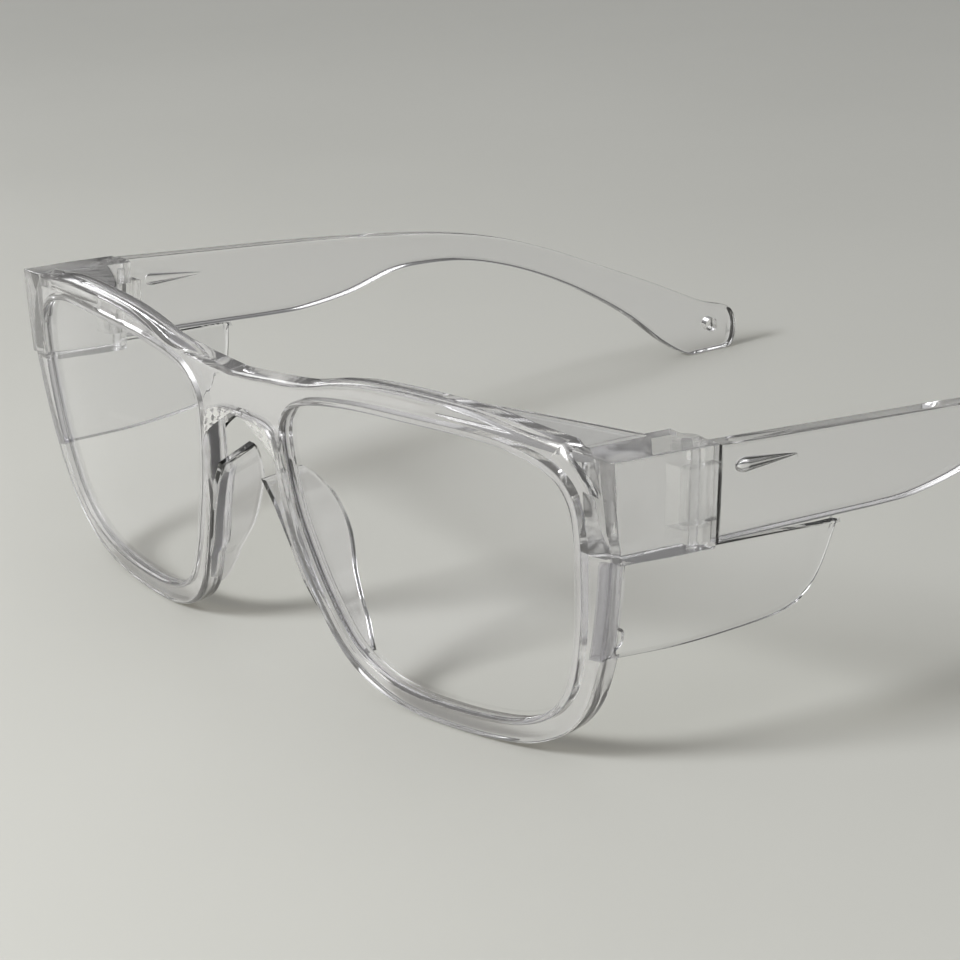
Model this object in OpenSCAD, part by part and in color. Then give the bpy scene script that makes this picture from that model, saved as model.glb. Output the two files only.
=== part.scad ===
// Clear safety glasses with full rims, side shields and folding temples.
//
// The glasses are drawn as they are worn: X runs across the face with the
// wearer's left at +X, +Y runs back towards the ears and Z is up. The front
// edge of the upper outer corners lies at y = 0. stand() then tips the whole
// model back until it stands on its rims and its temple tips.

/* [Lenses] */
// Width of a lens opening
lens_w = 54.4; // [51:0.2:58]
// Height of a lens opening
lens_h = 41.4; // [38:0.2:44]
// Thickness of a lens
lens_t = 2; // [1.6:0.1:2.2]
// How far a lens reaches into the rim around it
lens_lap = 0.8; // [0.5:0.1:1.2]
// Clearance between a lens and its groove
lens_gap = 0.05; // [0.03:0.01:0.1]

/* [Front frame] */
// Distance between the two lens openings
nose_gap = 21.2; // [19:0.2:24]
// Width of the rims, seen from the front
rim_w = 3.7; // [3:0.1:4.4]
// Depth of the rims, front to back
rim_d = 3.6; // [3.2:0.1:4.2]
// Width of the front beside a lens opening, at the upper outer corner
side_w = 7; // [6.5:0.1:8]
// How far the outer corners rise above the lens openings
corner_rise = 0.4; // [0.2:0.1:1.5]
// Height of the brow's crest above the outer corners
brow_rise = 3.7; // [2:0.1:4.5]
// Height of the bridge, top to underside
bridge_h = 6.9; // [6:0.1:9]
// Radius of the sphere that the front and the lenses follow
wrap_r = 302; // [220:1:500]
// Angle of the front to the temples, its top leaning forward
lean = 9.8; // [8:0.1:12]
// Thickness of the shelf behind the brow
shelf_t = 1.8; // [1.4:0.1:2.6]
// How far the shelf rises from the outer corner to the brow's crest
shelf_rise = 2.4; // [1.8:0.1:2.5]

/* [End pieces] */
// Height of an end piece
end_h = 13.9; // [13.2:0.1:15]
// Length of an end piece, from the front corner back to the temple
end_l = 17.3; // [15.5:0.1:20]
// How far the end pieces flare out on their way back
end_flare = 1.2; // [0.6:0.1:1.8]
// Width of an end piece's block
end_w = 8.4; // [8:0.1:9]
// Thickness of an end piece's top and bottom walls at the hinge
lug_t = 2.9; // [2.4:0.1:3.2]
// Thickness of an end piece's outer wall beside the hinge
wall_t = 1.6; // [1.3:0.1:1.8]

/* [Hinges] */
// Radius of a hinge pin
pin_r = 0.8; // [0.7:0.05:0.95]
// Radius of the round lugs that hold the pin
lug_r = 2.5; // [2.3:0.05:2.6]
// Radius of the temple's hinge barrel
barrel_r = 2.2; // [2:0.05:2.3]
// Distance of the hinge axis inside the temple's outer face
axis_in = 4.6; // [4.5:0.05:4.8]
// Distance of the hinge axis in front of the end piece's rear face
axis_fwd = 1.9; // [1.7:0.05:2.2]
// Running clearance of a pin in its barrel, on the radius
pin_gap = 0.05; // [0.02:0.01:0.1]
// Clearance between the hinge's moving faces
hinge_gap = 0.3; // [0.25:0.05:0.4]

/* [Temples] */
// Length of a temple, from the end piece to the tip
temple_l = 130; // [120:1:140]
// Height of a temple at the hinge
temple_h = 13.2; // [12.4:0.1:14.6]
// Thickness of a temple at the hinge
temple_t = 3.6; // [3.2:0.1:3.9]
// Thickness of a temple at its tip
tip_t = 2.8; // [2.4:0.1:3.4]
// Height of a temple's neck, its narrowest place
neck_h = 4.9; // [4:0.1:7]
// Depth of the neck's underside below the top of the temple
neck_drop = 9.5; // [8:0.1:11]
// Height of a temple's tip
tip_h = 9.4; // [8:0.1:11]
// How far a temple's tip toes in
toe_in = 12.2; // [8:0.1:13]
// Radius of the lanyard hole in a temple's tip
lanyard_r = 1.3; // [1:0.05:1.6]
// Distance of the lanyard hole from the end of the tip
lanyard_in = 5.2; // [4:0.1:7]
// Depth of the drop-shaped recess in a temple's inner face
recess_d = 1.1; // [0.6:0.1:1.4]
// Radius of the blunt end of the drop-shaped recess
recess_r = 1; // [0.8:0.1:1.6]
// Length of the drop-shaped recess
recess_l = 12.4; // [9:0.2:18]
// Distance of the drop-shaped recess behind the end piece
recess_back = 7.6; // [5:0.1:12]
// Depth of the drop-shaped recess below the top of the temple
recess_down = 5.2; // [3.5:0.1:8]

/* [Side shields] */
// Thickness of a shield's panel
shield_t = 1.4; // [1:0.1:1.8]
// Length of a shield, from the rim back
shield_l = 36.4; // [30:0.1:40]
// Height of a shield at its front edge
shield_h = 15.6; // [12:0.1:17]
// Depth of a shield's front rib
rib_d = 2.4; // [1.8:0.1:3.4]
// Width of a shield's front rib
rib_w = 2.4; // [2:0.1:3]
// Inward slant of a shield towards its foot, in degrees
shield_slant = 11.7; // [4:0.1:14]
// Distance of a shield's rib inside the outer corner
shield_in = 1.2; // [0.8:0.1:2]
// Radius of the lobe at the foot of the rib
lobe_r = 1.8; // [1.4:0.1:2.2]
// Clearance above a shield, and between the rim and what seats behind it
shield_gap = 0.06; // [0.04:0.01:0.15]

/* [Nose pads] */
// Thickness of a nose pad's fin
pad_t = 2.2; // [1.6:0.1:2.8]
// Depth of a nose pad's fin behind the rim
pad_d = 6.6; // [4:0.1:8]
// Height of a nose pad
pad_h = 26; // [20:0.5:28]
// Distance of the nose pads below the bridge
pad_drop = 7.7; // [5:0.1:9]

/* [Hidden] */
$fn = 48;
eps = 0.01;
big = 200;

// Heights are measured up the leaning front from the bottom of the rims.
opening_x = nose_gap / 2 + lens_w / 2;
opening_z = rim_w + lens_h / 2;
half_w = nose_gap / 2 + lens_w + side_w;
corner_h = rim_w + lens_h + corner_rise;
// The front follows a sphere whose centre is level with the middle of the
// front, and which passes through the upper outer corners at y = 0.
mid_h = corner_h / 2;
wrap_y = sqrt(wrap_r * wrap_r - half_w * half_w - mid_h * mid_h);
wrap_sag = wrap_r - wrap_y;

// A lens opening, from the nose side over the top to the cheek, as shares of
// its half width and half height.
OPENING = [[-1, 0.61], [-0.94, 0.82], [-0.78, 0.93], [-0.43, 0.99], [0, 1], [0.45, 0.99],
           [0.7, 0.94], [0.875, 0.85], [0.965, 0.705], [0.99, 0.51], [0.98, 0.22],
           [0.95, -0.12], [0.9, -0.41], [0.825, -0.65], [0.695, -0.83], [0.495, -0.945],
           [0.25, -0.99], [0, -1], [-0.25, -0.985], [-0.47, -0.91], [-0.64, -0.755],
           [-0.775, -0.455], [-0.875, -0.14], [-0.95, 0.17]];

// Point at share t between b and c of a smooth curve through a, b, c and d.
function between(a, b, c, d, t) =
    (2 * b + (c - a) * t + (2 * a - 5 * b + 4 * c - d) * t * t
     + (3 * b - a - 3 * c + d) * t * t * t) / 2;

// Closed smooth curve through points, with n steps between two of them.
function loop(points, n = 3) =
    let (m = len(points))
    [for (i = [0 : m - 1]) for (k = [0 : n - 1])
        between(points[(i + m - 1) % m], points[i], points[(i + 1) % m],
                points[(i + 2) % m], k / n)];

// Open smooth curve through points, with n steps between two of them.
function curve(points, n = 4) =
    let (m = len(points))
    [for (i = [0 : m - 2]) for (k = [0 : i == m - 2 ? n : n - 1])
        between(points[max(i - 1, 0)], points[i], points[i + 1],
                points[min(i + 2, m - 1)], k / n)];

// Unit vector square to the left of a clockwise loop's direction at point i.
function outward(path, i) =
    let (m = len(path), d = path[(i + 1) % m] - path[(i + m - 1) % m])
    [-d[1], d[0]] / norm(d);

// The opening's outline, grown by g and by a further flare at its outer side.
function opening(g = 0, flare = 0) =
    let (shares = loop(OPENING),
         path = [for (s = shares) [opening_x + s[0] * lens_w / 2, opening_z + s[1] * lens_h / 2]])
    [for (i = [0 : len(path) - 1])
        path[i] + outward(path, i)
                * (g + flare * pow(max(shares[i][0], 0), 4) * (1 + shares[i][1]) / 2)];

// Leans the upright front about the line through its outer corners.
front_z = corner_h;
module leaned() {
    translate([0, 0, front_z]) rotate([lean, 0, 0]) translate([0, 0, -corner_h]) children();
}

// The space between depths a and b behind the wrapped front surface.
module wrapped(a, b) {
    translate([0, wrap_y, mid_h]) difference() {
        sphere(r = wrap_r - a, $fn = 480);
        if (b < wrap_r) sphere(r = wrap_r - b, $fn = 480);
    }
}

// An outline across the front, given in X and height, made deep in Y.
module across(depth = 60) {
    rotate([90, 0, 0]) translate([0, 0, -depth / 2]) linear_extrude(depth) children();
}

// A child and its mirror image on the wearer's right.
module both() {
    children();
    mirror([1, 0, 0]) children();
}

// A child on the side that is named; it is drawn for the wearer's left.
module on_side(side) {
    if (side == "left") children();
    else mirror([1, 0, 0]) children();
}

// Standing: the model turns back by tip_angle about X, so that the lowest
// place of the rims and the flat under the temple tips share one floor.
tip_angle = 6.4;
rim_low_y = wrap_y - sqrt(wrap_r * wrap_r - opening_x * opening_x - mid_h * mid_h);
rim_foot = [rim_low_y * cos(lean) + corner_h * sin(lean),
            front_z + rim_low_y * sin(lean) - corner_h * cos(lean)];
function floor_z(y) = rim_foot[1] + (y - rim_foot[0]) * tan(tip_angle);
stand_z = -(rim_foot[1] * cos(tip_angle) - rim_foot[0] * sin(tip_angle));
temple_end = end_l + hinge_gap + temple_l;
front_y = (wrap_y * cos(lean) + mid_h * sin(lean)) * cos(tip_angle)
          + (front_z + wrap_y * sin(lean) - mid_h * cos(lean)) * sin(tip_angle) - wrap_r;
rear_y = temple_end * cos(tip_angle) + (floor_z(temple_end) + tip_h / 2) * sin(tip_angle);
stand_y = -(front_y + rear_y) / 2;
module stand() {
    translate([0, stand_y, stand_z]) rotate([-tip_angle, 0, 0]) children();
}

// ---- front frame: rims, bridge, brow, shelf and end pieces in one moulding

bridge_top = corner_h - 0.1;
module brow_outline() {
    top = curve([[0, bridge_top], [0.13 * half_w, corner_h + 0.16 * brow_rise], [0.23 * half_w, corner_h + 0.34 * brow_rise],
                 [0.33 * half_w, corner_h + 0.75 * brow_rise], [0.43 * half_w, corner_h + 0.97 * brow_rise],
                 [0.56 * half_w, corner_h + brow_rise], [0.7 * half_w, corner_h + 0.87 * brow_rise],
                 [0.82 * half_w, corner_h + 0.5 * brow_rise], [0.91 * half_w, corner_h + 0.23 * brow_rise],
                 [half_w, corner_h]]);
    under_z = bridge_top - bridge_h;
    under = curve([[nose_gap / 2 - 1, under_z - 10.7], [nose_gap / 2 - 2.45, under_z - 6.5],
                   [nose_gap / 2 - 2.65, under_z - 3.3], [nose_gap / 2 - 3.5, under_z - 1.2],
                   [nose_gap / 2 - 6, under_z - 0.2], [0, under_z]]);
    polygon(concat(top, [[half_w - 0.6, corner_h - end_h], [half_w - side_w / 2, corner_h - end_h],
                         [opening_x, opening_z]], under));
}

module front_outline() {
    both() difference() {
        union() {
            polygon(opening(rim_w, side_w - rim_w));
            brow_outline();
        }
        polygon(opening());
    }
}

// A flat wedge behind the brow. It falls from the brow's crest to the outer
// corner, where it is level with the top of the end piece.
module shelf() {
    tip_x = 0.55 * half_w;
    rear = curve([[tip_x, -0.2 * end_l], [0.633 * half_w, 0.08 * end_l], [0.758 * half_w, 0.38 * end_l],
                  [half_w - 1, 0.87 * end_l]]);
    intersection() {
        linear_extrude(big) polygon(concat([[half_w, 0.5 * end_l], [half_w, -wrap_sag], [tip_x, -wrap_sag]], rear));
        across() polygon([[half_w, front_z], [half_w, front_z - shelf_t],
                          [tip_x, front_z + shelf_rise - shelf_t], [tip_x, front_z + shelf_rise]]);
        leaned() wrapped(rim_d / 2, wrap_r);
    }
}

outer_x = half_w + end_flare;
axis_x = outer_x - axis_in;
axis_y = end_l - axis_fwd;
end_z = front_z - end_h;

// A child on the hinge axis, from height z up.
module at_axis(z) {
    translate([axis_x, axis_y, z]) children();
}

module end_piece() {
    sweep_r = lug_r + hinge_gap;
    wall_x = outer_x - wall_t;
    inboard = outer_x - end_w;
    room_y = axis_y + (axis_in - temple_t) / 2;
    difference() {
        union() {
            difference() {
                // the block behind the corner
                translate([0, 0, end_z]) linear_extrude(end_h)
                    polygon([[inboard, -wrap_sag], [half_w - 0.5 * end_flare, -wrap_sag],
                             [half_w, 0], [outer_x, end_l], [inboard, end_l]]);
                // room behind the inner corner, where the folded temple lies
                translate([inboard - 1, room_y, end_z - 1]) cube([axis_x - inboard + 1, end_l, end_h + 2]);
            }
            // round lugs about the pin
            at_axis(end_z) cylinder(r = lug_r, h = end_h);
        }
        // pocket for the temple's barrel
        pocket_z = end_z + lug_t;
        pocket_h = end_h - 2 * lug_t;
        at_axis(pocket_z) cylinder(r = sweep_r, h = pocket_h);
        translate([inboard - 1, axis_y - sweep_r, pocket_z])
            cube([wall_x - inboard + 1, end_l, pocket_h]);
        // hole for the pin, from below and blind at the top
        at_axis(end_z - 1) cylinder(r = pin_r, h = end_h);
    }
}

module front_frame() {
    color([0.86, 0.88, 0.92, 0.6]) stand() union() {
        leaned() difference() {
            intersection() {
                across() front_outline();
                wrapped(0, rim_d);
            }
            both() intersection() {
                across() polygon(opening(lens_lap + lens_gap));
                wrapped((rim_d - lens_t) / 2 - lens_gap, (rim_d + lens_t) / 2 + lens_gap);
            }
        }
        both() difference() {
            intersection() {
                union() {
                    end_piece();
                    shelf();
                }
                leaned() wrapped(eps, wrap_r);
            }
            // the block stays clear of the lens and its opening
            leaned() intersection() {
                across() polygon(opening(lens_lap + lens_gap));
                wrapped(-1, (rim_d + lens_t) / 2 + lens_gap);
            }
            leaned() across() polygon(opening());
        }
    }
}

// ---- lenses

module lens(side) {
    color([0.93, 0.95, 0.97, 0.35]) stand() on_side(side) leaned() intersection() {
        across() polygon(opening(lens_lap));
        wrapped((rim_d - lens_t) / 2, (rim_d + lens_t) / 2);
    }
}

// ---- nose pads: curved fins that stand on the back of the nose rims

module nose_pad(side) {
    pad_top = bridge_top - bridge_h - pad_drop;
    rim_back = rim_d - wrap_sag;
    edge = curve([[rim_back + 0.5 * pad_d, pad_top], [rim_back + 0.77 * pad_d, pad_top - 0.09 * pad_h],
                  [rim_back + 0.93 * pad_d, pad_top - 0.25 * pad_h], [rim_back + pad_d, pad_top - 0.46 * pad_h],
                  [rim_back + 0.88 * pad_d, pad_top - 0.7 * pad_h], [rim_back + 0.5 * pad_d, pad_top - 0.88 * pad_h],
                  [rim_back - 1, pad_top - pad_h]]);
    color([0.85, 0.87, 0.92, 0.6]) stand() on_side(side) leaned() difference() {
        intersection() {
            // band beside the opening
            across() difference() {
                polygon(opening(rim_w));
                polygon(opening(rim_w - pad_t));
                translate([opening_x, 0]) square(big);
            }
            // outline from the side
            rotate([90, 0, 90]) linear_extrude(half_w) polygon(concat([[-wrap_sag, pad_top]], edge,
                                                                      [[-wrap_sag, pad_top - pad_h]]));
        }
        wrapped(-wrap_r / 2, rim_d + shield_gap);
    }
}

// ---- side shields: a thin panel with a thick rib that seats behind the rim

module side_shield(side) {
    top_z = end_z - shield_gap;
    foot_z = top_z - shield_h;
    rib_x = half_w - shield_in;
    color([0.9, 0.93, 0.96, 0.45]) stand() on_side(side) intersection() {
        union() {
            // panel
            difference() {
                translate([rib_x, 0, top_z]) rotate([0, shield_slant, 0])
                    translate([-shield_t, 0, -top_z]) rotate([90, 0, 90]) linear_extrude(shield_t)
                    polygon(concat([[0, top_z + 3], [0, foot_z]],
                        curve([[rim_d + 2, foot_z], [0.42 * shield_l, foot_z + 0.3],
                               [0.7 * shield_l, foot_z + 1], [0.9 * shield_l, foot_z + 2.1],
                               [shield_l, foot_z + 4.2], [1.06 * shield_l, foot_z + 8.4],
                               [shield_l + rim_d, top_z], [shield_l + rim_d, top_z + 3]])));
                leaned() wrapped(-wrap_r / 2, rim_d + shield_gap);
            }
            // rib
            leaned() intersection() {
                across() translate([rib_x, corner_h - end_h]) rotate(-shield_slant)
                    translate([-rib_w, -shield_h - 2]) union() {
                        square([rib_w, shield_h + 6]);
                        translate([rib_w / 2, 2 + lobe_r]) scale([1, 1.4]) circle(lobe_r);
                    }
                wrapped(rim_d + shield_gap, rim_d + rib_d);
            }
        }
        translate([0, 0, foot_z - 0.5]) cube([2 * half_w, big, top_z - foot_z + 0.5]);
    }
}

// ---- temples

// A temple's height lines as worn: its top and bottom edges along Y.
temple_y = end_l + hinge_gap;
temple_top = front_z - 0.1;
function along(share) = temple_y + share * temple_l;
neck_z = temple_top - neck_drop;
TOP_EDGE = [[along(0), temple_top], [along(0.12), temple_top - 0.4], [along(0.3), temple_top - 1],
            [along(0.45), temple_top - 1.9], [along(0.53), temple_top - 2.8], [along(0.61), neck_z + neck_h],
            [along(0.69), neck_z + neck_h - 3], [along(0.77), neck_z + neck_h - 6.8],
            [along(0.86), neck_z + neck_h - 11.2], [along(0.94), floor_z(along(0.94)) + tip_h + 0.9],
            [along(0.985), floor_z(along(0.985)) + tip_h - 1.2]];
TIP_EDGE = [[along(0.985), floor_z(along(0.985)) + tip_h - 1.2], [along(1) - 0.2, floor_z(along(1)) + 0.6 * tip_h],
            [along(1), floor_z(along(1)) + 0.25 * tip_h], [along(1) - 0.9, floor_z(along(1) - 0.9)]];
BOTTOM_EDGE = [[along(0.93), floor_z(along(0.93))], [along(0.885), floor_z(along(0.885)) + 3.4],
               [along(0.82), neck_z - 12], [along(0.75), neck_z - 6.9], [along(0.68), neck_z - 2.9],
               [along(0.61), neck_z], [along(0.545), neck_z + 1.6], [along(0.48), neck_z + 1.8],
               [along(0.43), neck_z + 1.1], [along(0.36), temple_top - temple_h + 1.9],
               [along(0.29), temple_top - temple_h + 0.3], [along(0.24), temple_top - temple_h]];

module temple_side() {
    rotate([90, 0, 90]) translate([0, 0, -big / 2]) linear_extrude(big)
        polygon(concat(curve(TOP_EDGE), curve(TIP_EDGE), curve(BOTTOM_EDGE),
                       [[along(0), temple_top - temple_h]]));
}

// A temple runs straight back, bends in on one arc and ends straight.
bend_from = along(0.21);
bend_to = along(0.83);
bend_run = bend_to - bend_from;
toe_slope = toe_in / (bend_run / 2 + along(1) - bend_to);
function toe(y) =
    y < bend_from ? 0
    : y < bend_to ? toe_slope * pow(y - bend_from, 2) / (2 * bend_run)
    : toe_slope * (bend_run / 2 + y - bend_to);
function thick(y) = temple_t + (tip_t - temple_t) * min((y - temple_y) / (bend_to - temple_y), 1);

module temple_plan() {
    stations = concat([temple_y], [for (k = [0 : 14]) bend_from + k / 14 * bend_run], [along(1.05)]);
    linear_extrude(big, center = true)
        polygon(concat([for (y = stations) [outer_x - toe(y), y]],
                       [for (i = [len(stations) - 1 : -1 : 0])
                           [outer_x - toe(stations[i]) - thick(stations[i]), stations[i]]]));
}

lanyard_y = along(1) - lanyard_in;
lanyard_z = floor_z(lanyard_y) + 0.55 * tip_h;

module temple(side) {
    tongue_z = end_z + lug_t + hinge_gap;
    tongue_h = end_h - 2 * lug_t - 2 * hinge_gap;
    color([0.86, 0.88, 0.92, 0.6]) stand() on_side(side) difference() {
        union() {
            difference() {
                intersection() {
                    temple_side();
                    temple_plan();
                }
                // room for the end piece's round lugs
                at_axis(0) cylinder(r = lug_r + hinge_gap, h = big);
            }
            // tongue and barrel
            at_axis(tongue_z) cylinder(r = barrel_r, h = tongue_h);
            translate([axis_x - 0.8 * barrel_r, axis_y, tongue_z])
                cube([axis_in - temple_t / 2, axis_fwd + hinge_gap + temple_t / 2, tongue_h]);
        }
        at_axis(0) cylinder(r = pin_r + pin_gap, h = big);
        // lanyard hole, square to the straight end of the temple
        translate([outer_x - toe(lanyard_y) - tip_t / 2, lanyard_y, lanyard_z])
            rotate([0, 90, atan(toe_slope)]) cylinder(r = lanyard_r, h = 12, center = true);
        // drop-shaped recess in the inner face
        translate([outer_x - temple_t - 1, temple_y + recess_back + recess_r, temple_top - recess_down])
            rotate([90, 0, 90]) linear_extrude(recess_d + 1) union() {
                circle(recess_r);
                polygon([[0, recess_r], [recess_l - recess_r, recess_r], [0, -recess_r]]);
            }
    }
}

// ---- hinge pins

module hinge_pin(side) {
    color([0.8, 0.82, 0.88]) stand() on_side(side) at_axis(end_z) cylinder(r = pin_r, h = end_h - 1);
}

front_frame();
lens("left");  // lens_left
lens("right");  // lens_right
nose_pad("left");  // nose_pad_left
nose_pad("right");  // nose_pad_right
side_shield("left");  // side_shield_left
side_shield("right");  // side_shield_right
temple("left");  // temple_left
temple("right");  // temple_right
hinge_pin("left");  // hinge_pin_left
hinge_pin("right");  // hinge_pin_right
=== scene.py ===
"""Clear safety glasses with full rims, side shields and folding temples."""
import bmesh
import bpy
import numpy as np
from mathutils import Matrix, Vector


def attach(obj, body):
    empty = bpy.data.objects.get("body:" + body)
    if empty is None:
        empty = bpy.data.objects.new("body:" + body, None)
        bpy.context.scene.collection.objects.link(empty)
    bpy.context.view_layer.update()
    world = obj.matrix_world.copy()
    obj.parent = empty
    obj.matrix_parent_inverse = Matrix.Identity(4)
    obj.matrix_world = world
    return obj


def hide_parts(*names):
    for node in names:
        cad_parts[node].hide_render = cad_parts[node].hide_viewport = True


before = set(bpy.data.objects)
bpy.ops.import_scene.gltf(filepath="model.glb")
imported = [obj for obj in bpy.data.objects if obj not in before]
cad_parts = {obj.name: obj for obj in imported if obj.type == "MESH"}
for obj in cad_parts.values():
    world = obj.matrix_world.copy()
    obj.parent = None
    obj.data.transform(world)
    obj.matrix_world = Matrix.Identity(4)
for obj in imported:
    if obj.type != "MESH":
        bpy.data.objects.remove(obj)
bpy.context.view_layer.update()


# ---- camera ------------------------------------------------------------------
# The glasses are seen from the wearer's left front and a little above, with a
# long lens, so that the near temple runs out of view.
camera = bpy.data.objects.new("camera", bpy.data.cameras.new("camera"))
camera.data.lens = 108.75
camera.data.sensor_width = 36.0
camera.data.clip_start = 0.01
camera_place = (0.33103285, -0.28847483, 0.16686727)
camera_right = np.array([0.62844102, 0.77483591, -0.06849241])
camera_back = np.array([0.74540296, -0.57471266, 0.337757])
camera_back /= np.linalg.norm(camera_back)
camera_turn = Matrix([camera_right, np.cross(camera_back, camera_right), camera_back]).transposed()
camera.matrix_world = Matrix.Translation(camera_place) @ camera_turn.to_4x4()
bpy.context.scene.collection.objects.link(camera)
bpy.context.scene.camera = camera


# ---- front frame -------------------------------------------------------------
# Both rims, the bridge, the brow with its shelf and the two end pieces are one
# moulding in clear polycarbonate, with a polished mould's rounded edges. The
# end pieces have a pocket and two round lugs for the temple's hinge.

# Sizes are in millimetres, and shapes are worked out for the glasses as worn:
# X to the wearer's left, Y towards the ears, Z up from the foot of the rims.
MM = 0.001
nose_gap, lens_w, lens_h = 21.2, 54.4, 41.4
rim_w, rim_d, side_w = 3.7, 3.6, 7.0
corner_rise, brow_rise, bridge_h = 0.4, 3.7, 6.9
wrap_r, lean, tip_angle = 302.0, np.radians(9.8), np.radians(6.4)
half_w = nose_gap / 2 + lens_w + side_w
corner_h = rim_w + lens_h + corner_rise
opening_x, opening_z = nose_gap / 2 + lens_w / 2, rim_w + lens_h / 2
wrap_y = np.sqrt(wrap_r ** 2 - half_w ** 2 - (corner_h / 2) ** 2)


def on_curve(points, place, closed=False):
    """Points at places, counted in points, of the smooth curve through the given points. Each span is the
    cubic that has, at each of its ends, half the step between that end's two neighbours as its slope."""
    points = np.asarray(points, float)
    place = np.asarray(place, float)
    count = len(points)
    span = np.floor(place).astype(int)
    if not closed:
        span = np.clip(span, 0, count - 2)
    t = (place - span)[:, None]
    a, b, c, d = (points[k % count if closed else np.clip(k, 0, count - 1)]
                  for k in (span - 1, span, span + 1, span + 2))
    return (2 * b + (c - a) * t + (2 * a - 5 * b + 4 * c - d) * t ** 2 + (3 * b - a - 3 * c + d) * t ** 3) / 2


def even_curve(points, count):
    """count points at even steps along the smooth curve through the given points."""
    fine = on_curve(points, np.linspace(0, len(points) - 1, 40 * len(points)))
    run = np.append(0, np.cumsum(np.linalg.norm(np.diff(fine, axis=0), axis=1)))
    steps = np.linspace(0, run[-1], count)
    return np.stack([np.interp(steps, run, fine[:, k]) for k in range(fine.shape[1])], 1)


def inward(outline):
    """At each point of a closed clockwise outline, the vector that moves it one unit in from both of its
    edges: the mitre, which is the sum of the edges' unit normals over one plus their product. In a corner
    sharper than 60 degrees the product counts as -0.5, so that the mitre stays short."""

    def normals(steps):
        steps = steps / np.maximum(np.linalg.norm(steps, axis=1), 1e-9)[:, None]
        return np.stack([steps[:, 1], -steps[:, 0]], 1)

    before = normals(outline - np.roll(outline, 1, 0))
    after = normals(np.roll(outline, -1, 0) - outline)
    return (before + after) / (1 + np.maximum(np.sum(before * after, 1), -0.5))[:, None]


def rounding(radius, steps=5):
    """Quarter circle that leads from a flat face into a wall: the insets and the depths of its points."""
    turn = np.linspace(0, np.pi / 2, steps + 1)
    return np.stack([radius * (1 - np.sin(turn)), radius * (1 - np.cos(turn))], 1)


# Tipped back, the glasses move this far forwards to be centred, and this far up
# to stand on the table.
middle_y, foot_z = 72.6494, 0.580192


def at_rest(worn):
    """Turns points of the worn glasses back about X, so that they stand on their rims and temple tips."""
    x, y, z = np.moveaxis(worn, -1, 0)
    return np.stack([x, y * np.cos(tip_angle) + z * np.sin(tip_angle) - middle_y,
                     z * np.cos(tip_angle) - y * np.sin(tip_angle) + foot_z], -1)


def as_worn(rest):
    """The reverse of at_rest."""
    x, y, z = np.moveaxis(rest, -1, 0)
    y, z = y + middle_y, z - foot_z
    return np.stack([x, y * np.cos(tip_angle) - z * np.sin(tip_angle),
                     z * np.cos(tip_angle) + y * np.sin(tip_angle)], -1)


def on_front(x, h, depth):
    """The worn place of a point x across and h up the front, at a depth below the sphere that the front
    follows. The upright front leans about the line through its upper outer corners."""
    back = wrap_y - np.sqrt((wrap_r - depth) ** 2 - x ** 2 - (h - corner_h / 2) ** 2)
    up = h - corner_h
    return np.stack([x, back * np.cos(lean) - up * np.sin(lean),
                     back * np.sin(lean) + up * np.cos(lean) + corner_h], -1)


def surface(grid):
    """A grid of worn points, whose rows are closed loops, as points at rest and the quads between its
    neighbouring rows."""
    rows, columns = grid.shape[:2]
    start = np.arange(columns)
    corners = np.stack([start, (start + 1) % columns, (start + 1) % columns + columns, start + columns], 1)
    return at_rest(grid), (corners + columns * np.arange(rows - 1)[:, None, None]).reshape(-1, 4)


def tidy(piece):
    """Merges touching points, turns all faces outwards, and shades smooth but for the sharp edges."""
    touching, sharp_angle = 2e-7, np.radians(32)
    work = bmesh.new()
    work.from_mesh(piece.data)
    bmesh.ops.remove_doubles(work, verts=work.verts, dist=touching)
    bmesh.ops.dissolve_degenerate(work, edges=work.edges, dist=touching / 2)
    bmesh.ops.recalc_face_normals(work, faces=work.faces)
    work.to_mesh(piece.data)
    work.free()
    piece.data.shade_smooth()
    piece.data.set_sharp_from_angle(angle=sharp_angle)


def solid(name, shape, mirrored=False, both_sides=False):
    """An object from a surface's points and quads. Where it is made for both sides, the quads that lie on
    the middle plane go, and the other half is its mirror image. Mirrored quads run the other way round."""
    points, faces = shape
    points = points.reshape(-1, 3)
    if both_sides:
        inside = np.all(np.abs(points[faces][:, :, 0]) < 1e-4, axis=1)
        faces = faces[~inside]
        faces = np.concatenate([faces, faces[:, ::-1] + len(points)])
        points = np.concatenate([points, points * (-1, 1, 1)])
    if mirrored:
        points, faces = points * (-1, 1, 1), faces[:, ::-1]
    mesh = bpy.data.meshes.new(name)
    mesh.from_pydata(points * MM, [], faces)
    piece = bpy.data.objects.new(name, mesh)
    bpy.context.scene.collection.objects.link(piece)
    tidy(piece)
    return piece


def joined(piece, tool, how):
    """Unites piece with a tool, or cuts the tool from it, and removes the tool."""
    change = piece.modifiers.new("join", "BOOLEAN")
    change.operation, change.object, change.solver = how, tool, "MANIFOLD"
    mesh = bpy.data.meshes.new_from_object(piece.evaluated_get(bpy.context.evaluated_depsgraph_get()))
    piece.modifiers.clear()
    piece.data = mesh
    piece.data.materials.clear()
    bpy.data.objects.remove(tool)


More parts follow.
